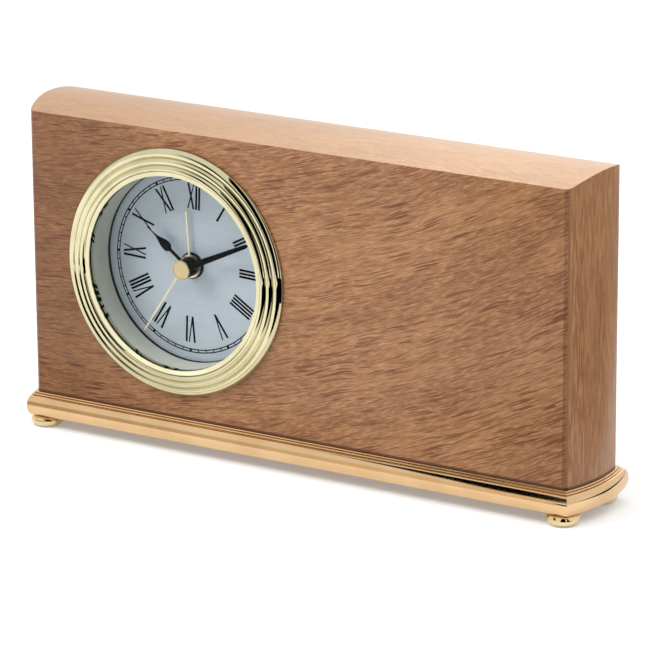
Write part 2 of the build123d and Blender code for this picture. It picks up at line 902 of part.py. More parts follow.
def second_hand():
    outline = [
        (second_root_width / 2, 0),
        (second_blade_width / 2, second_blade_length),
        (second_tip_width / 2, second_length),
    ]
    hub = rod(cap_radius / 2, second_low, second_low + hand_thickness)
    bore = rod(seconds_arbor_radius + press_fit, second_low - over, second_low + over)
    return clockwise(blade(outline, second_low) + hub - bore, second_angle)


def second_hand_cap():
    low = second_low + hand_thickness + press_fit
    return turned(
        Polyline(
            (0, low),
            (cap_radius, low),
            (cap_radius, low + cap_height - cap_edge_width),
            (cap_radius - cap_edge_width, low + cap_height),
            (0, low + cap_height),
            (0, low),
        )
    )


def alarm_hand():
    outline = [
        (alarm_width / 2, 0),
        (alarm_width / 2, alarm_length - alarm_width),
        (needle_width / 2, alarm_length),
    ]
    hub = rod(alarm_hub_radius, alarm_low - hand_thickness, alarm_high)
    bore = rod(alarm_tube + press_fit, alarm_low - over, alarm_high + over)
    return clockwise(blade(outline, alarm_low) + hub - bore, alarm_angle)


# Stepping motor: stator plate, core and winding
def stator():
    """Two arms from the core to a ring round the magnet."""
    low = core_front
    gap_radius = magnet_radius + stator_clearance
    plate = rod(gap_radius + stator_ring_width, low, stator_front, rotor_place)
    for place in core_places:
        run = (place[0] - rotor_place[0], place[1] - rotor_place[1])
        length = hypot(run[0], run[1])
        middle = (rotor_place[0] + run[0] / 2, rotor_place[1] + run[1] / 2)
        arm = slab(length, stator_arm_width, low, stator_front)
        turn = degrees(atan2(run[1], run[0]))
        plate += Pos(middle[0], middle[1], 0) * Rot(0, 0, turn) * arm
        plate += rod(core_end_radius, low, stator_front, place)
    plate -= rod(gap_radius, low - over, stator_front + over, rotor_place)
    for place in core_places:
        plate -= rod(screw_radius + screw_fit, low - over, stator_front + over, place)
    return plate


def coil_core():
    length = core_top - core_bottom
    middle = (core_x, (core_top + core_bottom) / 2)
    bar = slab(core_width, length, core_back, core_front, middle)
    for place in core_places:
        bar += rod(core_end_radius, core_back, core_front, place)
        bar -= rod(screw_radius + screw_fit, core_back - over, core_front + over, place)
    return bar


def coil_winding():
    """Wound copper round the core, as one closed body with its two flanges."""
    axis_level = (core_front + core_back) / 2
    middle_y = (core_top + core_bottom) / 2
    body = Rot(90, 0, 0) * Cylinder(winding_radius, winding_length)
    for end in (-1, 1):
        flange = Cylinder(winding_radius + tube_wall / 2, tube_wall)
        body += Pos(0, end * (winding_length - tube_wall) / 2, 0) * (Rot(90, 0, 0) * flange)
    body = Pos(core_x, middle_y, axis_level) * body
    return body - slab(
        core_width + 2 * press_fit,
        winding_length + over,
        core_back - press_fit,
        core_front + press_fit,
        (core_x, middle_y),
    )


# Circuit board and sounder
def circuit_board():
    low, high = board_front - board_thickness, board_front
    ring = tube(board_inner_radius, board_outer_radius, low, high)
    wedge_points = [(0, 0)]
    for angle in (board_start_angle, (board_start_angle + board_end_angle) / 2, board_end_angle):
        wedge_points.append(polar(2 * board_outer_radius, angle))
    wedge = Pos(0, 0, low - over) * extrude(
        make_face(Polyline(*wedge_points, close=True)), amount=board_thickness + 2 * over
    )
    board = ring & wedge
    for place in board_places:
        board -= rod(screw_radius + screw_fit, low - over, high + over, place)
    return board


def chip_cap():
    low = board_front - board_thickness
    dome_radius = (chip_radius**2 + chip_height**2) / (2 * chip_height)
    place = polar(board_circle_radius, chip_angle)
    dome = Pos(place[0], place[1], low + dome_radius - chip_height) * Sphere(dome_radius)
    return dome & rod(chip_radius, low - chip_height, low, place)


def crystal_can():
    low = board_front - board_thickness - crystal_radius
    place = polar(board_circle_radius, crystal_angle)
    can = Rot(0, 0, crystal_angle) * Rot(90, 0, 0) * Cylinder(crystal_radius, crystal_length)
    return Pos(place[0], place[1], low) * can


def piezo_disc():
    place = (piezo_x, piezo_y)
    brass = rod(piezo_radius, cover_front, cover_front + piezo_thickness, place)
    high = cover_front + piezo_thickness
    return brass + rod(piezo_ceramic_radius, high, high + piezo_ceramic_thickness, place)


# Cell, contacts, back cover with the cell box, door, knobs and switch
def battery_cell():
    body = Rot(0, 90, 0) * Cylinder(cell_radius, cell_length)
    nub = Rot(0, 90, 0) * Cylinder(cell_nub_radius, cell_nub_length)
    cell = Pos(-cell_nub_length / 2, 0, 0) * body + Pos(cell_length / 2, 0, 0) * nub
    return Pos(0, cell_y, cell_z) * cell


def contact(side):
    """Sheet contact that stands on the box end wall and touches the cell."""
    wall = side * (box_half_length - box_wall)
    inner = wall - side * contact_thickness
    touch = side * cell_total / 2
    strip = make_face(
        Polyline(
            (wall, cover_front),
            (wall, cell_z + contact_width),
            (inner - side * (contact_reach_length - contact_fold_height), cell_z + contact_width),
            (touch, cell_z + contact_fold_height),
            (touch, cell_z - contact_fold_height),
            (inner, cell_z - 2 * contact_fold_height),
            (inner, cover_front),
            close=True,
        )
    )
    return Pos(0, cell_y, 0) * extrude(Plane.XZ * strip, amount=contact_width / 2, both=True)


def cell_box(half_length, half_height, limit, low, high):
    """Rounded-off box round the cell, kept inside the barrel."""
    return slab(2 * half_length, 2 * half_height, low, high, (0, cell_y)) & rod(limit, low, high)


def back_cover():
    """Rear disc with the cell box standing out of it."""
    inner_length = box_half_length - box_wall
    cover = rod(barrel_radius, cover_back, cover_front)
    cover += cell_box(box_half_length, box_half_height, box_limit_radius, box_back, cover_front)
    room_limit = box_limit_radius - box_wall
    cover -= cell_box(inner_length, cell_room, room_limit, box_back - over, cover_front + over)
    door_seat = cell_box(
        inner_length + box_wall / 2,
        cell_room + box_wall / 2,
        box_limit_radius - box_wall / 2,
        box_back - over,
        box_back + door_thickness,
    )
    cover -= door_seat
    for side in (-1, 1):
        end_wall = slab(
            box_wall,
            cell_radius,
            cover_front - press_fit,
            cell_z + contact_width,
            (side * (box_half_length - box_wall / 2), cell_y),
        )
        cover += end_wall
    cover -= rod(knob_arbor_radius + running_fit, cover_back - over, cover_front + over, time_place)
    cover -= rod(knob_arbor_radius + running_fit, cover_back - over, cover_front + over, alarm_place)
    cover -= slab(
        switch_travel_length + switch_button_length + 2 * running_fit,
        switch_stem_width + 2 * running_fit,
        cover_back - over,
        cover_front + over,
        (switch_x + switch_travel_length / 2, switch_y),
    )
    for place in boss_places():
        cover -= rod(screw_radius + screw_fit, cover_back - over, cover_front + over, place)
    return cover


def battery_door():
    """Lift-off panel with a finger notch at its upper edge."""
    half_length = box_half_length - box_wall / 2 - door_clearance
    half_height = cell_room + box_wall / 2 - door_clearance
    limit = box_limit_radius - box_wall / 2 - door_clearance
    low = box_back
    high = low + door_thickness - door_clearance
    panel = cell_box(half_length, half_height, limit, low, high)
    notch = rod(door_notch_radius, low - over, low + door_thickness / 2, (0, cell_y + half_height))
    return panel - notch


def knob(place):
    """Fluted finger knob behind the cover."""
    body = rod(knob_radius, knob_end, knob_front, place)
    for flute in range(knob_flutes):
        spot = polar(knob_radius, flute * 360 / knob_flutes, place)
        body -= rod(knob_flute_radius, knob_end - over, knob_front + over, spot)
    return body - rod(knob_arbor_radius + press_fit, knob_end - over, knob_front + over, place)


def alarm_switch():
    """Slider: a shoe inside the cover, a stem through its slot and a ribbed button."""
    place = (switch_x, switch_y)
    shoe_back = cover_front + running_fit
    button_front = cover_back - running_fit
    low = cover_back - switch_button_height
    shoe = slab(switch_length, switch_height, shoe_back, cover_front + switch_shoe_thickness, place)
    stem = slab(switch_button_length, switch_stem_width, button_front, shoe_back, place)
    button = slab(switch_button_length, switch_height, low, button_front, place)
    for rib in (-1, 0, 1):
        groove = slab(slot_width, switch_height + over, low - over, low + slot_depth)
        button -= Pos(switch_x + rib * switch_button_length / 3, switch_y, 0) * groove
    return shoe + stem + button


save(wood_block(), "wood_block")
save(base_plate(), "base_plate")
save(base_screws(), "base_screws")
for name, place in foot_places.items():
    save(foot(place), name)

clock_pieces = {
    "bezel": bezel,
    "lens": lens,
    "reflector_ring": reflector_ring,
    "dial": dial,
    "dial_nut": dial_nut,
    "case_barrel": case_barrel,
    "grip_band": grip_band,
    "front_plate": front_plate,
    "middle_plate": middle_plate,
    "rear_plate": rear_plate,
    "plate_screws": plate_screws,
    "seconds_wheel": seconds_wheel,
    "centre_wheel": centre_wheel,
    "third_wheel": third_wheel,
    "fifth_wheel": fifth_wheel,
    "rotor_pinion": rotor_pinion,
    "rotor_magnet": rotor_magnet,
    "cannon_pinion": cannon_pinion,
    "minute_wheel": minute_wheel,
    "hour_wheel": hour_wheel,
    "alarm_wheel": alarm_wheel,
    "time_arbor": time_arbor,
    "alarm_arbor": alarm_arbor,
    "hour_hand": hour_hand,
    "minute_hand": minute_hand,
    "second_hand": second_hand,
    "second_hand_cap": second_hand_cap,
    "alarm_hand": alarm_hand,
    "stator": stator,
    "coil_core": coil_core,
    "coil_winding": coil_winding,
    "coil_screws": coil_screws,
    "circuit_board": circuit_board,
    "board_screws": board_screws,
    "chip_cap": chip_cap,
    "crystal_can": crystal_can,
    "piezo_disc": piezo_disc,
    "battery_cell": battery_cell,
    "back_cover": back_cover,
    "cover_screws": cover_screws,
    "battery_door": battery_door,
    "alarm_switch": alarm_switch,
}
for name, make in clock_pieces.items():
    save_clock(make(), name)
save_clock(contact(-1), "contact_minus")
save_clock(contact(1), "contact_plus")
save_clock(knob(time_place), "time_knob")
save_clock(knob(alarm_place), "alarm_knob")
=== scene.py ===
import json
from math import atan2, cos, degrees, hypot, radians, sin, sqrt

import bmesh
import bpy
from mathutils import Matrix, Vector


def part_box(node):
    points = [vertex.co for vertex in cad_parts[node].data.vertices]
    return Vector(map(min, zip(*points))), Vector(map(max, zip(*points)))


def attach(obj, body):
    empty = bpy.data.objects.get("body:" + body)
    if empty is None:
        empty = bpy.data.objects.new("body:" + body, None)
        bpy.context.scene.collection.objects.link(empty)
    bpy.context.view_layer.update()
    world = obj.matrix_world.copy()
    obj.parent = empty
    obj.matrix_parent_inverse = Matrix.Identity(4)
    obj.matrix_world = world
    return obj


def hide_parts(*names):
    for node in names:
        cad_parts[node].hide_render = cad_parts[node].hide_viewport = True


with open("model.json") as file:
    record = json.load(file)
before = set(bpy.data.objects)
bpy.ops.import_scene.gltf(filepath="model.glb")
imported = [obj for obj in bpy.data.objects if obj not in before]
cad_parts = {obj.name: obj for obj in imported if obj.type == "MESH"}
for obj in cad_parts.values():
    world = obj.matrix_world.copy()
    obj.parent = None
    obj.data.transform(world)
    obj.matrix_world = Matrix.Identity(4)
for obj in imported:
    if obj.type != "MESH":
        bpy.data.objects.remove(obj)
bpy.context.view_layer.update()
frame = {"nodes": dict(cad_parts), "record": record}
nodes = frame["nodes"]

# Sizes are in millimetres and are turned into metres where a mesh is made
MM = 0.001


def node_box(name):
    """Lowest and highest corner of a CAD node, in millimetres."""
    low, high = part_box(name)
    return low / MM, high / MM


def metres(*lengths):
    return [length * MM for length in lengths]


# Places read from the frame
block_low, block_high = node_box("wood_block")
base_low, base_high = node_box("base_plate")
bezel_low, bezel_high = node_box("bezel")
lens_low, lens_high = node_box("lens")
hole_centre = (bezel_low + bezel_high) / 2
clock_x, clock_z = hole_centre.x, hole_centre.z
front_y = block_low.y
dial_y = node_box("dial")[0].y

# Block
block_length = 174.1
block_height = 83.4
end_flare = 1.9
top_flare = 1.5
face_bow = 1.95
bow_steps = 28
edge_rounding = 0.55
edge_segments = 4
edge_angle = 40.0
corner_rounding = 2.2
corner_steps = 10
half_width = block_length / 2
front_top = block_low.z + block_height
hole_radius = 30.2
hole_steps = 180
spare = 2.0

# Bezel: distance in from the rim and height of each crest and groove of its rings
bezel_bore = 28.2
bezel_shelf = 1.42
bezel_recess = 32.0
bezel_seat = 0.05
ring_start = (0.0, 0.5)
ring_crests = ((1.7, 1.95), (3.8, 2.4), (5.85, 2.795))
ring_grooves = ((2.6, 1.5), (4.65, 1.98), (6.6, 2.05))
ring_lip = (7.8, 1.85)
ring_steps = 12

# Moulded base
reed_radius = 0.25
reed_widths = (0.65, 1.25)
reed_steps = 8
nose_seat = 1.25
nose_width = 1.55
nose_steps = 20

# Bun feet
foot_flat = 3.1
foot_steps = 18

# Wall, throat and the dark ring of painted shade behind the lens
reflector_wall = 0.45
throat_depth = 1.1
throat_gap = 0.02
shadow_ring_width = 0.1
shadow_ring_height = 1.0

# Dial printing
print_height = 0.04
print_turn = 2.3
print_lift = 0.65
track_outer = 25.6
track_inner = 24.8
track_line = 0.32
tick_width = 0.3
hour_tick_width = 0.7
numeral_inner = 15.8
numeral_outer = 23.4
thick_stroke = 0.64
thin_stroke = 0.38
stroke_gap = 0.34
letter_width = 2.45
numerals = ("XII", "I", "II", "III", "IIII", "V", "VI", "VII", "VIII", "IX", "X", "XI")
minutes = 60

# Minute hand, its collar and what passes through it
minute_angle = 65.5
minute_rise = 3.8
minute_length = 23.8
minute_root = 1.7
minute_width = 2.0
minute_end = 1.2
minute_point = 1.6
needle_width = 0.25
hand_thickness = 0.22
hand_ridge = 0.08
collar_radius = 2.75
collar_step = 0.32
arbor_radius = 0.55
tube_radius = 1.07

# Cap of the seconds hand
cap_edge = 0.14
cap_edge_steps = 6
cap_rim = 0.42
cap_dish = 0.09

# Distance in metres under which the points of a mesh are one
weld_distance = 1e-7

# Steps round a full turn
turn_steps = 240
small_turn_steps = 120
foot_turn_steps = 96

# Angles, in degrees, from which an edge stays sharp
usual_sharp = 38.0
bezel_sharp = 40.0
base_sharp = 33.0
block_sharp = 30.0
hand_sharp = 8.0


def linear(*srgb):
    """Linear colour from sRGB values out of 255."""
    channels = []
    for value in srgb:
        share = value / 255
        channels.append(share / 12.92 if share <= 0.04045 else ((share + 0.055) / 1.055) ** 2.4)
    return (*channels, 1)


class Surface:
    """One material and the short calls that build its node tree."""

    def __init__(self, name, roughness=0.5, metallic=0.0, **inputs):
        self.material = bpy.data.materials.new(name)
        self.material.use_nodes = True
        self.tree = self.material.node_tree
        self.shader = self.tree.nodes["Principled BSDF"]
        self.shader.inputs["Roughness"].default_value = roughness
        self.shader.inputs["Metallic"].default_value = metallic
        for key, value in inputs.items():
            self.shader.inputs[key.replace("_", " ")].default_value = value
        self.place = self.node("ShaderNodeTexCoord").outputs["Object"]

    def node(self, kind, **settings):
        made = self.tree.nodes.new(kind)
        for key, value in settings.items():
            setattr(made, key, value)
        return made

    def link(self, source, target):
        self.tree.links.new(source, target)

    def put(self, target, value):
        if isinstance(value, bpy.types.NodeSocket):
            self.link(value, target)
        else:
            target.default_value = value

    def stretched(self, *sizes, source=None):
        """Coordinates in units of the given feature sizes, in millimetres."""
        mapping = self.node("ShaderNodeMapping")
        self.link(source or self.place, mapping.inputs["Vector"])
        mapping.inputs["Scale"].default_value = [1 / size for size in metres(*sizes)]
        return mapping.outputs["Vector"]

    def noise(self, place, detail=3.0, output="Fac"):
        made = self.node("ShaderNodeTexNoise")
        self.link(place, made.inputs["Vector"])
        made.inputs["Scale"].default_value = 1.0
        made.inputs["Detail"].default_value = detail
        return made.outputs[output]

    def dashes(self, place):
        """Distance to scattered points: small inside separate dashes."""
        made = self.node("ShaderNodeTexVoronoi")
        self.link(place, made.inputs["Vector"])
        made.inputs["Scale"].default_value = 1.0
        return made.outputs["Distance"]

    def spread(self, value, low, high, start=0.0, end=1.0):
        """Value carried from low..high to start..end, smoothly and kept inside."""
        made = self.node("ShaderNodeMapRange", interpolation_type="SMOOTHSTEP")
        self.put(made.inputs["Value"], value)
        for key, number in (("From Min", low), ("From Max", high), ("To Min", start), ("To Max", end)):
            made.inputs[key].default_value = number
        return made.outputs["Result"]

    def math(self, operation, first, second=0.0):
        made = self.node("ShaderNodeMath", operation=operation)
        self.put(made.inputs[0], first)
        self.put(made.inputs[1], second)
        return made.outputs["Value"]

    def mix(self, share, first, second, blend="MIX"):
        made = self.node("ShaderNodeMix", data_type="RGBA", blend_type=blend)
        self.put(made.inputs["Factor"], share)
        self.put(made.inputs["A"], first)
        self.put(made.inputs["B"], second)
        return made.outputs["Result"]

    def parts(self, vector):
        split = self.node("ShaderNodeSeparateXYZ")
        self.link(vector, split.inputs[0])
        return tuple(split.outputs)

    def joined(self, *values):
        combined = self.node("ShaderNodeCombineXYZ")
        for target, value in zip(combined.inputs, values):
            self.put(target, value)
        return combined.outputs[0]

    def blended(self, share, first, second):
        """Vector between two others."""
        made = self.node("ShaderNodeMix", data_type="VECTOR")
        self.put(made.inputs["Factor"], share)
        self.link(first, made.inputs[4])
        self.link(second, made.inputs[5])
        return made.outputs[1]

    def bump(self, height, strength, distance):
        made = self.node("ShaderNodeBump")
        made.inputs["Strength"].default_value = strength
        made.inputs["Distance"].default_value = distance * MM
        self.link(height, made.inputs["Height"])
        self.link(made.outputs["Normal"], self.shader.inputs["Normal"])

    def colour(self, value):
        self.put(self.shader.inputs["Base Color"], value)

    def rough(self, value):
        self.put(self.shader.inputs["Roughness"], value)


# Grain: its slope on the face and how that grows per metre to the right, how it lies on the
# ends and the top, and the slow wave that bends it
face_climb = 0.27
face_climb_growth = 1.35
end_stretch = 0.4
top_shift = 50.0
top_climb = 0.02
sway_sizes = (24, 20, 10)
sway_detail = 1.5
sway_reach = (1.0, 1.0, 4.0)

# Layers of the grain from coarse to fine: sizes of their features in millimetres, and detail
grain_layers = {
    "cloud": ((45, 20, 11), 2),
    "figure": ((30, 10, 2.4), 3),
    "streak": ((11, 4, 1.1), 2),
    "patch": ((16, 8, 4.5), 2),
    "ripple": ((10, 2.0, 0.5), 1),
    "fibre": ((2.4, 1.0, 0.34), 2),
}
pore_sizes = (9, 2.2, 0.6)

# Tones of the wood, and of the painted sheen, shade and foot shadow laid on it
wood_dark = linear(138, 91, 55)
wood_light = linear(157, 110, 70)
figure_tone = linear(136, 88, 54)
fibre_tone = linear(206, 158, 112)
streak_tone = linear(122, 72, 42)
line_tone = linear(102, 53, 25)
pore_tone = linear(84, 42, 22)
# painted sheen: the paler tone that the top is mixed towards
painted_top_sheen = linear(224, 202, 176)
# darker tone for the upright edges and for the painted contact shadow at the foot
edge_and_shadow_tone = linear(78, 40, 22)
# painted shade: tint multiplied into the ends of the front and the left of the top
shade_tint = (0.58, 0.51, 0.43, 1)

# Runs along X over which painted shade darkens the front to the left and right, and the top to the left
left_shade = (-30.0, -80.0)
right_shade = (45.0, 85.0)
top_shade = (90.0, -90.0)

# Heights above the foot of the block between which its painted contact shadow comes in
foot_shadow_line = (0.95, 0.4)


def grain_place(wood, is_end, is_top):
    """Coordinates that follow the grain on the face, the ends and the top, bent by a slow wave."""
    x, y, z = wood.parts(wood.place)
    slope = wood.math("ADD", face_climb, wood.math("MULTIPLY", x, face_climb_growth))
    face = wood.joined(x, y, wood.math("SUBTRACT", z, wood.math("MULTIPLY", x, slope)))
    end = wood.joined(wood.math("MULTIPLY", z, end_stretch), x, y)
    top_lean = wood.math("ADD", y, wood.math("MULTIPLY", x, top_climb))
    top = wood.joined(wood.math("SUBTRACT", x, top_shift * MM), z, top_lean)
    straight = wood.blended(is_top, wood.blended(is_end, face, end), top)
    bent = wood.node("ShaderNodeVectorMath", operation="MULTIPLY_ADD")
    wood.link(wood.noise(wood.stretched(*sway_sizes, source=straight), sway_detail, "Color"), bent.inputs[0])
    bent.inputs[1].default_value = metres(*sway_reach)
    wood.link(straight, bent.inputs[2])
    return bent.outputs[0]


def wood_surface():
    """Light brown wood with short dark pores that follow the grain."""
    wood = Surface("wood", roughness=0.45, Specular_IOR_Level=0.25, Coat_Weight=0.35, Coat_Roughness=0.2)
    x, _, z = wood.parts(wood.place)
    normal_x, _, normal_z = wood.parts(wood.node("ShaderNodeTexCoord").outputs["Normal"])
    # how much a place faces an end or the top, and how much it lies on the front or back
    side = wood.math("ABSOLUTE", normal_x)
    is_end = wood.spread(side, 0.55, 0.8)
    is_top = wood.spread(wood.math("ABSOLUTE", normal_z), 0.55, 0.8)
    off_face = wood.math("MAXIMUM", wood.math("MULTIPLY", is_end, 0.8), wood.math("MULTIPLY", is_top, 0.45))
    on_face = wood.math("SUBTRACT", 1.0, off_face)
    grain = grain_place(wood, is_end, is_top)
    layer = {}
    for name, (sizes, detail) in grain_layers.items():
        layer[name] = wood.noise(wood.stretched(*sizes, source=grain), detail)
    pores = wood.dashes(wood.stretched(*pore_sizes, source=grain))
    # broad tones and pale fibres, then dark streaks, lines and pores
    tone = wood.mix(wood.spread(layer["cloud"], 0.35, 0.65), wood_dark, wood_light)
    tone = wood.mix(wood.spread(layer["figure"], 0.5, 0.68, 0, 0.38), tone, figure_tone)
    tone = wood.mix(wood.spread(layer["fibre"], 0.4, 0.66, 0, 0.42), tone, fibre_tone)
    streaks = wood.math("MULTIPLY", wood.spread(layer["streak"], 0.52, 0.36, 0, 0.35), on_face)
    tone = wood.mix(streaks, tone, streak_tone)
    patches = wood.math("MULTIPLY", on_face, wood.spread(layer["patch"], 0.38, 0.62, 0.4, 1.0))
    lines = wood.math("MULTIPLY", wood.spread(layer["ripple"], 0.43, 0.39, 0, 0.85), patches)
    tone = wood.mix(lines, tone, line_tone)
    strength = wood.math("MULTIPLY", wood.spread(layer["streak"], 0.6, 0.4, 0.15, 0.6), on_face)
    deep = wood.math("MULTIPLY", wood.spread(pores, 0.28, 0.21), strength)
    tone = wood.mix(deep, tone, pore_tone)
    # painted shade darkens both ends of the front and the left of the top, and painted sheen makes the top
    # paler
    painted_shade_left = wood.spread(x, *metres(*left_shade))
    painted_shade_right = wood.spread(x, *metres(*right_shade), 0, 0.22)
    painted_shade_face = wood.math("MULTIPLY", wood.math("ADD", painted_shade_left, painted_shade_right), on_face)
    painted_shade_top = wood.math("MULTIPLY", wood.spread(x, *metres(*top_shade), 0.05, 0.8), is_top)
    # painted sheen: the top is mixed towards a paler tone
    tone = wood.mix(wood.math("MULTIPLY", is_top, 0.35), tone, painted_top_sheen)
    tone = wood.mix(wood.math("MAXIMUM", painted_shade_face, painted_shade_top), tone, shade_tint, "MULTIPLY")
    # darker line along the upright edges, and painted contact shadow at the foot
    upright_edge_band = wood.math("MULTIPLY", wood.spread(side, 0.03, 0.16), wood.spread(side, 0.5, 0.25))
    painted_foot_shadow = wood.spread(z, *metres(*(block_low.z + height for height in foot_shadow_line)), 0, 0.85)
    edge_band_and_foot_shadow = wood.math("MAXIMUM", wood.math("MULTIPLY", upright_edge_band, 0.35), painted_foot_shadow)
    wood.colour(wood.mix(edge_band_and_foot_shadow, tone, edge_and_shadow_tone))
    wood.rough(wood.spread(layer["fibre"], 0.2, 0.8, 0.38, 0.52))
    wood.bump(wood.math("SUBTRACT", wood.math("MULTIPLY", layer["fibre"], 0.3), deep), 0.2, 0.04)
    return wood.material


def lens_surface():
    """Clear lens with a trace of haze."""
    lens = Surface("lens", roughness=0.03, Alpha=0.05, IOR=1.49)
    haze = lens.noise(lens.stretched(12, 12, 12), detail=2)
    lens.colour(lens.mix(haze, linear(60, 66, 68), linear(68, 74, 76)))
    return lens.material


def brass_surface(name, colour, shade, roughness):
    """Polished brass with a faint change of tone and of polish."""
    brass = Surface(name, roughness, metallic=1.0)
    tone = brass.noise(brass.stretched(9, 9, 9), detail=2)
    polish = brass.noise(brass.stretched(0.8, 0.8, 0.8), detail=2)
    brass.colour(brass.mix(brass.spread(tone, 0.3, 0.7), linear(*colour), linear(*shade)))
    brass.rough(brass.spread(polish, 0.25, 0.75, roughness * 0.9, roughness * 1.12))
    return brass.material


def plain_surface(name, colour, shade, roughness, metallic=0.0, size=0.5, bump=0.02, **inputs):
    """Moulded, painted or ground finish: a fine grain in tone, gloss and height."""
    plain = Surface(name, roughness, metallic, **inputs)
    broad = 8 * size
    tone = plain.noise(plain.stretched(broad, broad, broad))
    grain = plain.noise(plain.stretched(size, size, size))
    plain.colour(plain.mix(plain.spread(tone, 0.3, 0.7), linear(*colour), linear(*shade)))
    plain.rough(plain.spread(grain, 0.3, 0.7, roughness * 0.85, min(1.0, roughness * 1.15)))
    plain.bump(grain, 0.3, bump)
    return plain.material


def brushed_surface(name, colour, shade, roughness, sizes, metallic=1.0):
    """Finish with fine lines along one direction, given as the sizes of its features."""
    brushed = Surface(name, roughness, metallic)
    lines = brushed.noise(brushed.stretched(*sizes))
    brushed.colour(brushed.mix(brushed.spread(lines, 0.3, 0.7), linear(*colour), linear(*shade)))
    brushed.rough(brushed.spread(lines, 0.3, 0.7, roughness * 0.8, roughness * 1.2))
    brushed.bump(lines, 0.2, 0.01)
    return brushed.material


# Other finishes: their maker, sRGB colour and shade, and what else the maker takes
finishes = {
    "foot_brass": (brass_surface, (228, 208, 164), (220, 199, 153), dict(roughness=0.08)),
    "base_brass": (brass_surface, (224, 190, 146), (216, 180, 135), dict(roughness=0.1)),
    "bezel_brass": (brass_surface, (210, 203, 168), (201, 193, 157), dict(roughness=0.05)),
    "hand_brass": (brass_surface, (216, 210, 182), (208, 201, 172), dict(roughness=0.35)),
    "cap_brass": (brass_surface, (206, 188, 146), (198, 179, 136), dict(roughness=0.3)),
    "gear_brass": (brass_surface, (226, 196, 122), (214, 182, 108), dict(roughness=0.26)),
    "steel": (brushed_surface, (190, 190, 192), (165, 165, 168), dict(roughness=0.32, sizes=(0.2, 0.2, 2.0))),
    "copper": (brushed_surface, (196, 118, 70), (120, 62, 34), dict(roughness=0.3, sizes=(2.0, 2.0, 0.09))),
    "dial": (
        brushed_surface, (194, 206, 215), (188, 201, 211),
        dict(roughness=0.5, sizes=(14, 3, 0.25), metallic=0.15),
    ),
    "dial_ink": (
        plain_surface, (8, 8, 11), (14, 14, 17),
        dict(roughness=0.5, size=0.3, bump=0.002, Specular_IOR_Level=0.02),
    ),
    "black_metal": (
        plain_surface, (3, 3, 4), (6, 6, 7),
        dict(roughness=0.38, size=0.3, bump=0.004, Specular_IOR_Level=0.03),
    ),
    "rubber": (
        plain_surface, (22, 22, 22), (29, 29, 29),
        dict(roughness=0.8, size=0.3, bump=0.03, Specular_IOR_Level=0.2),
    ),
    "reflector": (
        plain_surface, (196, 199, 187), (188, 191, 179),
        dict(roughness=0.4, metallic=0.1, size=0.4, bump=0.005),
    ),
    "black_plastic": (plain_surface, (28, 28, 29), (34, 34, 35), dict(roughness=0.52, size=0.35, bump=0.03)),
    "white_plastic": (plain_surface, (222, 221, 214), (212, 211, 203), dict(roughness=0.48, size=0.35)),
    "gear_plastic": (
        plain_surface, (228, 222, 200), (220, 213, 190),
        dict(roughness=0.45, size=0.4, bump=0.01),
    ),
    "nickel": (
        plain_surface, (216, 214, 206), (206, 204, 196),
        dict(roughness=0.2, metallic=1.0, bump=0.004),
    ),
    "board": (plain_surface, (36, 104, 58), (30, 92, 50), dict(roughness=0.4, size=0.6, bump=0.01)),
    "chip": (plain_surface, (18, 18, 19), (26, 26, 27), dict(roughness=0.28, bump=0.01)),
    "cell": (
        plain_surface, (92, 96, 100), (84, 88, 92),
        dict(roughness=0.35, metallic=0.4, size=0.6, bump=0.006),
    ),
    "magnet": (
        plain_surface, (74, 74, 77), (62, 62, 65),
        dict(roughness=0.45, metallic=0.8, size=0.3, bump=0.01),
    ),
}
surfaces = {"wood": wood_surface(), "lens": lens_surface()}
for name, (maker, colour, shade, settings) in finishes.items():
    surfaces[name] = maker(name, colour, shade, **settings)
for row in frame["record"]["subparts"]:
    for material_slot in nodes[row["node"]].material_slots:
        material_slot.material = surfaces[row["material_slot"]]


# Mesh makers
def smoothed(mesh, material, sharp_angle):
    """One material, smooth faces, and sharp edges from an angle on."""
    mesh.materials.clear()
    mesh.materials.append(material)
    for polygon in mesh.polygons:
        polygon.use_smooth = True
    mesh.set_sharp_from_angle(angle=radians(sharp_angle))


def finished(name, mesh, material, body, sharp_angle=usual_sharp):
    """Smooth scene object that rides on a body."""
    piece = bpy.data.objects.new(name, mesh)
    bpy.context.scene.collection.objects.link(piece)
    smoothed(mesh, material, sharp_angle)
    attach(piece, body)
    return piece


def mesh_of(name, points, faces):
    """Mesh in metres from points in millimetres, with its faces turned outwards."""
    mesh = bpy.data.meshes.new(name)
    mesh.from_pydata([Vector(point) * MM for point in points], [], faces)
    work = bmesh.new()
    work.from_mesh(mesh)
    bmesh.ops.remove_doubles(work, verts=work.verts, dist=weld_distance)
    bmesh.ops.recalc_face_normals(work, faces=work.faces)
    work.to_mesh(mesh)
    work.free()
    return mesh


def loops_joined(loops, ring=False):
    """Points and faces of a solid over closed loops: a ring, or one with a cap at each end."""
    count = len(loops[0])
    points = [point for loop in loops for point in loop]
    faces = []
    for row in range(len(loops) if ring else len(loops) - 1):
        here = row * count
        there = (row + 1) % len(loops) * count
        for step in range(count):
            onward = (step + 1) % count
            faces.append((here + step, here + onward, there + onward, there + step))
    if not ring:
        faces.append(tuple(range(count)))
        faces.append(tuple(len(points) - 1 - step for step in range(count)))
    return points, faces


def arc(centre, radii, start, end, steps):
    """Points of an arc of a circle or ellipse, from one angle to another in degrees."""
    points = []
    for step in range(steps + 1):
        angle = radians(start + (end - start) * step / steps)
        points.append((centre[0] + radii[0] * cos(angle), centre[1] + radii[1] * sin(angle)))
    return points


def circle(centre, radius, steps):
    return arc(centre, (radius, radius), 0, 360, steps)[:-1]


def ring_section(inner, outer, low, high):
    """Outline of a flat-sided ring, as radii and heights."""
    return [(inner, low), (outer, low), (outer, high), (inner, high)]


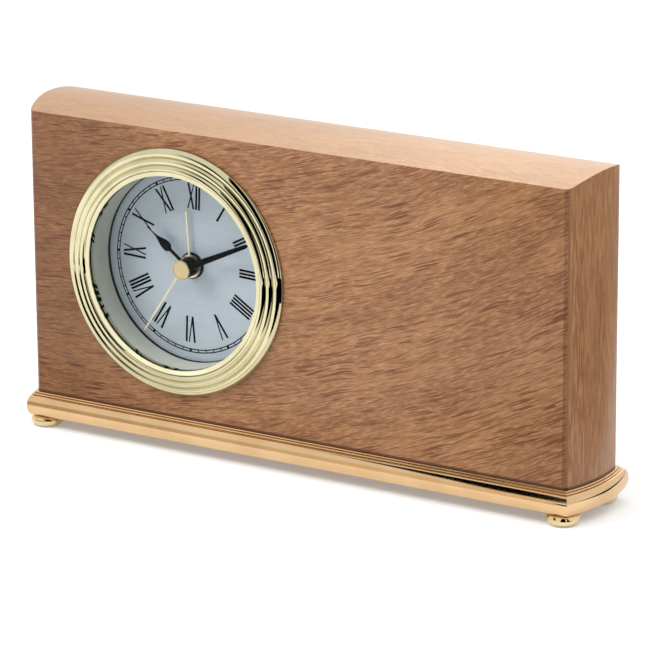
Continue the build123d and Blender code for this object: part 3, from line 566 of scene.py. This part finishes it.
def revolved(name, outline, material, body, upright_at=None, steps=turn_steps, sharp_angle=usual_sharp):
    """Outline of radius and height turned round the clock's axis, or round an upright one at a place."""
    loops = []
    for radius, height in outline:
        if upright_at:
            loops.append([(x, y, height) for x, y in circle(upright_at, radius, steps)])
        else:
            loops.append([(x, front_y - height, z) for x, z in circle((clock_x, clock_z), radius, steps)])
    mesh = mesh_of(name, *loops_joined(loops, ring=True))
    return finished(name, mesh, material, body, sharp_angle)


# Bezel with rounded rings, each a curve up to its crest and one down to its groove
bezel_radius = (bezel_high.x - bezel_low.x) / 2


def ring_side(start, end):
    """Parabola from one place of the bezel's section to the next, level at its higher end."""
    points = []
    for step in range(1, ring_steps + 1):
        share = step / ring_steps
        rise = 1 - (1 - share) ** 2 if end[1] > start[1] else share**2
        inward = start[0] + (end[0] - start[0]) * share
        points.append((bezel_radius - inward, start[1] + (end[1] - start[1]) * rise))
    return points


outline = [(bezel_radius, bezel_seat), (bezel_radius - ring_start[0], ring_start[1])]
for foot, crest, groove in zip((ring_start, *ring_grooves), ring_crests, ring_grooves):
    outline += ring_side(foot, crest) + ring_side(crest, groove)
outline += [
    (bezel_radius - ring_lip[0], ring_lip[1]),
    (bezel_bore, bezel_shelf),
    (bezel_recess, bezel_shelf),
    (bezel_recess, bezel_seat),
]
brass = surfaces["bezel_brass"]
bezel = revolved("bezel_rings", outline, brass, "insert", sharp_angle=bezel_sharp)
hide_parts("bezel")


# Base: the moulding's outline carried round the bowed footprint, mitred at the corners
def bow_circle(start, end, bow):
    """Centre and radius of the arc that bulges to the right of its run."""
    run = (end[0] - start[0], end[1] - start[1])
    length = hypot(*run)
    radius = (length**2 / 4 + bow**2) / (2 * bow)
    back = (radius - bow) / length
    return ((start[0] + end[0]) / 2 - run[1] * back, (start[1] + end[1]) / 2 + run[0] * back), radius


back_y = block_high.y
bow_centre, bow_radius = bow_circle((half_width, front_y), (half_width + end_flare, back_y), face_bow)


def bulge(centre, radius, start, end):
    """Places from the front to the back, and how far out an arc bulges at each."""
    places = [start + (end - start) * step / bow_steps for step in range(bow_steps + 1)]
    return [(y, centre[0] + sqrt(radius**2 - (y - centre[1]) ** 2)) for y in places]


def footprint(reach, height):
    """Loop round the block at a distance from its foot, at one height."""
    bowed = bulge(bow_centre, bow_radius + reach, front_y - reach, back_y + reach)
    right = [(x, y, height) for y, x in bowed]
    return right + [(-x, y, height) for x, y, height in reversed(right)]


foot_height = base_low.z
level = base_high.z - reed_radius
profile = [(0.0, base_high.z)]
for reed_width in reed_widths:
    profile += arc((reed_width - reed_radius, level), (reed_radius, reed_radius), 90, -90, reed_steps)
    level -= 2 * reed_radius
nose_half = (level + reed_radius - foot_height) / 2
profile += arc((nose_seat, foot_height + nose_half), (nose_width, nose_half), 90, -90, nose_steps)
base_mesh = mesh_of("base_moulding", *loops_joined([footprint(reach, height) for reach, height in profile]))
base = finished("base_moulding", base_mesh, surfaces["base_brass"], "stand", base_sharp)
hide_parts("base_plate")

# Bun feet
for corner in ("front_left", "front_right", "back_left", "back_right"):
    foot_low, foot_high = node_box("foot_" + corner)
    middle = (foot_low + foot_high) / 2
    bun_radii = ((foot_high.x - foot_low.x) / 2 - foot_flat, foot_height / 2)
    outline = [
        (0.0, 0.0),
        *arc((foot_flat, foot_height / 2), bun_radii, -90, 90, foot_steps),
        (0.0, foot_height),
    ]
    foot = revolved(
        "bun_" + corner,
        outline,
        surfaces["foot_brass"],
        "stand",
        upright_at=(middle.x, middle.y),
        steps=foot_turn_steps,
    )
    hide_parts("foot_" + corner)


# Block: a bowed prism with rounded upright edges, met with one that has the bowed top, then bored
def prism(name, outline, across, ends):
    """Closed prism over an outline; across maps an outline point and an end to a place."""
    loops = [[across(point, end) for point in outline] for end in ends]
    piece = bpy.data.objects.new(name, mesh_of(name, *loops_joined(loops)))
    bpy.context.scene.collection.objects.link(piece)
    return piece


def applied(piece, kind, **settings):
    """Modifier run on a piece and baked into its mesh."""
    modifier = piece.modifiers.new(kind.lower(), kind)
    for key, value in settings.items():
        setattr(modifier, key, value)
    depsgraph = bpy.context.evaluated_depsgraph_get()
    mesh = bpy.data.meshes.new_from_object(piece.evaluated_get(depsgraph))
    piece.modifiers.remove(modifier)
    piece.data = mesh


def rounded_plan(rounding):
    """Outline of the block seen from above, its upright edges rounded."""
    corners = []
    for y in (front_y + rounding, back_y - rounding):
        along = y - bow_centre[1]
        out = sqrt((bow_radius - rounding) ** 2 - along**2)
        corners.append(((bow_centre[0] + out, y), degrees(atan2(along, out))))
    (front_corner, front_angle), (back_corner, back_angle) = corners
    right = arc(front_corner, (rounding, rounding), -90, front_angle, corner_steps)
    right += arc(bow_centre, (bow_radius, bow_radius), front_angle, back_angle, bow_steps)[1:-1]
    right += arc(back_corner, (rounding, rounding), back_angle, 90, corner_steps)
    return right + [(-x, y) for x, y in reversed(right)]


top_centre, top_radius = bow_circle((front_top, front_y), (front_top + top_flare, back_y), face_bow)
side_outline = [(back_y, block_low.z), (front_y, block_low.z)]
side_outline += bulge(top_centre, top_radius, front_y, back_y)
hole_outline = circle((clock_x, clock_z), hole_radius, hole_steps)
far_end = half_width + end_flare + face_bow + spare
block_ends = (block_low.z, block_high.z + face_bow + spare)
block = prism("wood_body", rounded_plan(corner_rounding), lambda p, z: (p[0], p[1], z), block_ends)
rail = prism("rail", side_outline, lambda p, x: (x, p[0], p[1]), (-far_end, far_end))
bore = prism("bore", hole_outline, lambda p, y: (p[0], y, p[1]), (front_y - spare, back_y + spare))
applied(block, "BOOLEAN", operation="INTERSECT", object=rail, solver="EXACT")
applied(block, "BOOLEAN", operation="DIFFERENCE", object=bore, solver="EXACT")
for helper in (rail, bore):
    bpy.data.objects.remove(helper)
# this bevel comes out about 0.001 mm wide, so the long edges look sharp
edge_settings = {"width": edge_rounding * MM, "segments": edge_segments, "angle_limit": radians(edge_angle)}
applied(block, "BEVEL", limit_method="ANGLE", **edge_settings)
smoothed(block.data, surfaces["wood"], block_sharp)
# normals weighted by area keep the long faces evenly shaded
applied(block, "WEIGHTED_NORMAL", mode="FACE_AREA", weight=100, keep_sharp=True)
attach(block, "stand")
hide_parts("wood_block")

# Reflector ring, throat and lens as smooth turned pieces
reflector_back = front_y - node_box("reflector_ring")[1].y
lens_back = front_y - lens_high.y
lens_front = front_y - lens_low.y
lens_radius = (lens_high.x - lens_low.x) / 2
throat_front = lens_back - throat_gap
throat_back = throat_front - throat_depth
sleeve_outer = bezel_bore + reflector_wall
outline = ring_section(bezel_bore, sleeve_outer, reflector_back, throat_back)
reflector = revolved("reflector_wall", outline, surfaces["reflector"], "insert")
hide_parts("reflector_ring")
outline = ring_section(bezel_bore, sleeve_outer, throat_back, throat_front)
revolved("throat_ring", outline, surfaces["bezel_brass"], "insert")
outline = ring_section(0.0, lens_radius, lens_back, lens_front)
lens = revolved("lens_disc", outline, surfaces["lens"], "insert")
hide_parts("lens")


# Dial printing: track, ticks and hour numerals as thin raised ink
def dial_point(radius, clockwise, offset):
    """Place on the dial at an angle clockwise from twelve, offset to the right of its ray."""
    angle = radians(90 - clockwise)
    return (
        clock_x + radius * cos(angle) + offset * sin(angle),
        clock_z + radius * sin(angle) - offset * cos(angle),
    )


def print_point(radius, clockwise, offset):
    """Place of the printed numerals, which sit slightly turned and high on the dial."""
    x, z = dial_point(radius, clockwise + print_turn, offset)
    return x, z + print_lift


def inked(name, outlines):
    """Thin prisms over closed outlines on the dial."""
    points, faces = [], []
    for shape in outlines:
        loops = [[(x, y, z) for x, z in shape] for y in (dial_y, dial_y - print_height)]
        shape_points, shape_faces = loops_joined(loops)
        faces += [tuple(len(points) + corner for corner in face) for face in shape_faces]
        points += shape_points
    return finished(name, mesh_of(name, points, faces), surfaces["dial_ink"], "insert")


def stroke(clockwise, inner, outer, width):
    """Bar between the two radii of the numerals, from an inner offset to an outer one."""
    corners = []
    for offset, radius in ((inner - width / 2, numeral_inner), (inner + width / 2, numeral_inner)):
        corners.append(print_point(radius, clockwise, offset))
    for offset, radius in ((outer + width / 2, numeral_outer), (outer - width / 2, numeral_outer)):
        corners.append(print_point(radius, clockwise, offset))
    return corners


def numeral(text, clockwise):
    """Strokes of one Roman numeral, its top outwards."""
    widths = {"I": thick_stroke, "V": letter_width, "X": letter_width}
    total = sum(widths[letter] for letter in text) + stroke_gap * (len(text) - 1)
    left = -total / 2
    shapes = []
    for letter in text:
        right = left + widths[letter]
        if letter == "I":
            middle = (left + right) / 2
            shapes.append(stroke(clockwise, middle, middle, thick_stroke))
        else:
            near, far = left + thick_stroke / 2, right - thin_stroke / 2
            middle = (near + far) / 2
            if letter == "V":
                shapes.append(stroke(clockwise, middle, near, thick_stroke))
                shapes.append(stroke(clockwise, middle, far, thin_stroke))
            else:
                shapes.append(stroke(clockwise, far, near, thick_stroke))
                shapes.append(stroke(clockwise, near, far, thin_stroke))
        left = right + stroke_gap
    return shapes


hours = len(numerals)
dial_height = front_y - dial_y
strokes = []
for hour, text in enumerate(numerals):
    strokes += numeral(text, 360 * hour / hours)
inked("hour_numerals", strokes)
ticks = []
for minute in range(minutes):
    side = (tick_width if minute % (minutes // hours) else hour_tick_width) / 2
    corners = ((track_inner, -side), (track_inner, side), (track_outer, side), (track_outer, -side))
    clockwise = 360 * minute / minutes + print_turn
    ticks.append([dial_point(radius, clockwise, offset) for radius, offset in corners])
inked("minute_ticks", ticks)
for ring_name, radius in (("track_ring_outer", track_outer), ("track_ring_inner", track_inner)):
    edges = (radius - track_line / 2, radius + track_line / 2)
    outline = ring_section(*edges, dial_height, dial_height + print_height)
    revolved(ring_name, outline, surfaces["dial_ink"], "insert")

# Black ring between the dial and the reflector ring: painted shade standing for the shadowed gap there
outline = ring_section(bezel_bore - shadow_ring_width, bezel_bore, dial_height, dial_height + shadow_ring_height)
revolved("dial_shadow_ring", outline, surfaces["rubber"], "insert")


# Minute hand: a wedge with a low ridge, on the collar that holds it
def hand_section(radius, width):
    """Loop across the minute hand at one radius, raised in the middle."""
    low, high, side = minute_rise, minute_rise + hand_thickness, width / 2
    loop = []
    for offset, height in ((-side, low), (side, low), (side, high), (0.0, high + hand_ridge), (-side, high)):
        x, z = dial_point(radius, minute_angle, offset)
        loop.append((x, dial_y - height, z))
    return loop


stations = [
    (minute_root, minute_width),
    (minute_length - minute_point, minute_end),
    (minute_length, needle_width),
]
hand_mesh = mesh_of("minute_pointer", *loops_joined([hand_section(*station) for station in stations]))
pointer = finished("minute_pointer", hand_mesh, surfaces["black_metal"], "minute", hand_sharp)
minute_low, minute_high = node_box("minute_hand")
collar_back, collar_front = front_y - minute_high.y, front_y - minute_low.y
step_up = dial_height + minute_rise + hand_thickness + collar_step
outline = [
    (tube_radius, collar_back),
    (collar_radius, collar_back),
    (collar_radius, collar_front),
    (arbor_radius, collar_front),
    (arbor_radius, step_up),
    (tube_radius, step_up),
]
revolved("minute_collar", outline, surfaces["black_metal"], "minute", steps=small_turn_steps)
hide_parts("minute_hand")

# Cap of the seconds hand
cap_low, cap_high = node_box("second_hand_cap")
cap_radius = (cap_high.x - cap_low.x) / 2
cap_back, cap_front = front_y - cap_high.y, front_y - cap_low.y
outline = [
    (0.0, cap_back),
    (cap_radius, cap_back),
    *arc((cap_radius - cap_edge, cap_front - cap_edge), (cap_edge, cap_edge), 0, 90, cap_edge_steps),
    (cap_radius - cap_rim + cap_dish, cap_front),
    (cap_radius - cap_rim, cap_front - cap_dish),
    (0.0, cap_front - cap_dish / 2),
]
cap = revolved("seconds_cap", outline, surfaces["cap_brass"], "seconds", steps=small_turn_steps)
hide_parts("second_hand_cap")

# Floor, pale to the camera and to mirrors, which keeps the object's shadow
floor_size = 8.0
floor_tone = 0.66
glow_places = (0.3, 1.4)
glow_levels = (0.24, 0.85)
bpy.ops.mesh.primitive_plane_add(size=floor_size, location=(0, 0, 0))
floor = bpy.context.object
floor.name = "floor"
ground = Surface("floor", roughness=0.9)
ground.colour((floor_tone, floor_tone, floor_tone, 1))
paths = ground.node("ShaderNodeLightPath")
seen = ground.math("MAXIMUM", paths.outputs["Is Camera Ray"], paths.outputs["Is Glossy Ray"])
seen = ground.math("MAXIMUM", seen, paths.outputs["Is Transmission Ray"])
ground.shader.inputs["Emission Color"].default_value = (1, 1, 1, 1)
away = ground.node("ShaderNodeVectorMath", operation="LENGTH")
ground.link(ground.place, away.inputs[0])
glow = ground.spread(away.outputs["Value"], *glow_places, *glow_levels)
ground.link(ground.math("MULTIPLY", seen, glow), ground.shader.inputs["Emission Strength"])
floor.data.materials.append(ground.material)

# World: soft even light, white where it is seen
world_level = 0.2
world = bpy.data.worlds.new("studio")
bpy.context.scene.world = world
world.use_nodes = True
tree = world.node_tree
background = tree.nodes["Background"]
background.inputs["Color"].default_value = (1, 1, 1, 1)
paths = tree.nodes.new("ShaderNodeLightPath")
level_node = tree.nodes.new("ShaderNodeMapRange")
seen_node = tree.nodes.new("ShaderNodeMath")
seen_node.operation = "MAXIMUM"
tree.links.new(paths.outputs["Is Camera Ray"], seen_node.inputs[0])
tree.links.new(paths.outputs["Is Glossy Ray"], seen_node.inputs[1])
tree.links.new(seen_node.outputs["Value"], level_node.inputs["Value"])
level_node.inputs["To Min"].default_value = world_level
level_node.inputs["To Max"].default_value = 1.0
tree.links.new(level_node.outputs["Result"], background.inputs["Strength"])


def softbox(name, place, target, size, power, mirrored=False):
    """Rectangular lamp turned towards a target; places in metres, power in watts."""
    lamp = bpy.data.lights.new(name, "AREA")
    lamp.shape = "RECTANGLE"
    lamp.size, lamp.size_y = size
    lamp.energy = power
    piece = bpy.data.objects.new(name, lamp)
    piece.location = place
    piece.visible_camera = False
    piece.visible_glossy = mirrored
    piece.rotation_euler = (Vector(target) - Vector(place)).to_track_quat("-Z", "Y").to_euler()
    bpy.context.scene.collection.objects.link(piece)


softbox("top_box", (0.0, -0.15, 1.0), (0, 0, 0.05), (1.6, 1.4), 18.0)
softbox("front_box", (-0.8, -0.65, 0.85), (0, 0, 0.05), (0.6, 0.6), 10.4)
softbox("side_box", (0.75, 0.3, 0.65), (0.08, 0, 0.05), (0.6, 0.6), 3.0)
softbox("rim_box", (-0.05, 0.9, 0.34), (0.08, 0, 0.09), (0.3, 0.5), 0.25, mirrored=True)


# Cards that give the polished brass its dark and warm bands, with places in metres
floor_card_lift = 0.001
corner_outline = (
    (0.05, -0.2), (0.2, -0.2), (0.2, -0.02), (0.1, -0.02),
    (0.1, -0.045), (0.03, -0.045), (0.005, -0.06), (0.02, -0.1),
)
leaning_outline = (
    (0.02, 0.02), (0.0, 0.02), (-0.011, 0.032), (-0.047, 0.088), (-0.1, 0.172),
    (-0.156, 0.248), (-0.06, 0.248), (-0.02, 0.172), (0.02, 0.09),
)


def card(name, corners, glow=(0.0, 0.0, 0.0), glow_right=None):
    """Flat card that only mirrors see, at a brightness of its own that may change to the right."""
    mesh = bpy.data.meshes.new(name)
    mesh.from_pydata(corners, [], [tuple(range(len(corners)))])
    piece = bpy.data.objects.new(name, mesh)
    bpy.context.scene.collection.objects.link(piece)
    paint = Surface(name, roughness=1.0, Specular_IOR_Level=0.0)
    paint.colour((0, 0, 0, 1))
    paint.shader.inputs["Emission Color"].default_value = (*glow, 1)
    if glow_right:
        x = paint.parts(paint.place)[0]
        share = paint.spread(x, corners[0][0], corners[1][0])
        paint.link(paint.mix(share, (*glow, 1), (*glow_right, 1)), paint.shader.inputs["Emission Color"])
    paint.shader.inputs["Emission Strength"].default_value = 1.0
    mesh.materials.append(paint.material)
    piece.visible_camera = False
    piece.visible_diffuse = False
    piece.visible_shadow = False
    piece.visible_transmission = False


def rectangle(across, up):
    """Corners of a rectangle over two ranges."""
    (left, right), (low, high) = across, up
    return ((left, low), (right, low), (right, high), (left, high))


def side_card(name, x, outline):
    """Upright card at one place along X."""
    card(name, [(x, y, z) for y, z in outline])


def front_card(name, y, outline, **glows):
    """Upright card at one place along Y."""
    card(name, [(x, y, z) for x, z in outline], **glows)


def floor_card(name, outline, **glows):
    """Card that lies just above the floor."""
    card(name, [(x, y, floor_card_lift) for x, y in outline], **glows)


side_card("dark_card_far", 0.2, rectangle((-0.6, -0.125), (0.03, 1.0)))
side_card("dark_card_near", 0.2, rectangle((-0.09, -0.052), (0.03, 1.0)))
side_card("dark_card_low", 0.2, rectangle((-0.6, -0.02), (0.0, 0.03)))
floor_card("dark_card_floor", corner_outline)
floor_card("dark_card_side", rectangle((0.12, 0.45), (0.03, 0.4)))
floor_card("dark_card_left", rectangle((-0.4, -0.14), (0.015, 0.3)), glow=(0.1, 0.09, 0.06))
front_card("dark_card_front", -0.15, leaning_outline)
low_outline = rectangle((-0.13, 0.075), (0.0005, 0.01))
front_card("low_card", -0.036, low_outline, glow=(0.6, 0.52, 0.42), glow_right=(0.95, 0.85, 0.7))


# Camera at the photograph's viewing angle
camera_azimuth = radians(31.91)
camera_elevation = radians(16.67)
camera_roll = radians(-0.356)
camera_distance = 1.1619
camera_target = Vector((0.00326, 0.0, 0.04052))
frame_pixels = 650
focal_pixels = 4164.6
sensor = 36.0
back = Vector(
    (
        sin(camera_azimuth) * cos(camera_elevation),
        -cos(camera_azimuth) * cos(camera_elevation),
        sin(camera_elevation),
    )
)
level_right = Vector((cos(camera_azimuth), sin(camera_azimuth), 0))
level_up = back.cross(level_right)
right = cos(camera_roll) * level_right + sin(camera_roll) * level_up
up = cos(camera_roll) * level_up - sin(camera_roll) * level_right
camera_data = bpy.data.cameras.new("camera")
camera_data.sensor_width = sensor
camera_data.lens = focal_pixels * sensor / frame_pixels
camera_data.clip_start = 0.05
camera_data.clip_end = 50.0
camera = bpy.data.objects.new("camera", camera_data)
bpy.context.scene.collection.objects.link(camera)
turn = Matrix((right, up, back)).transposed().to_4x4()
camera.matrix_world = Matrix.Translation(camera_target + back * camera_distance) @ turn
bpy.context.scene.camera = camera
bpy.context.scene.view_settings.view_transform = "Standard"
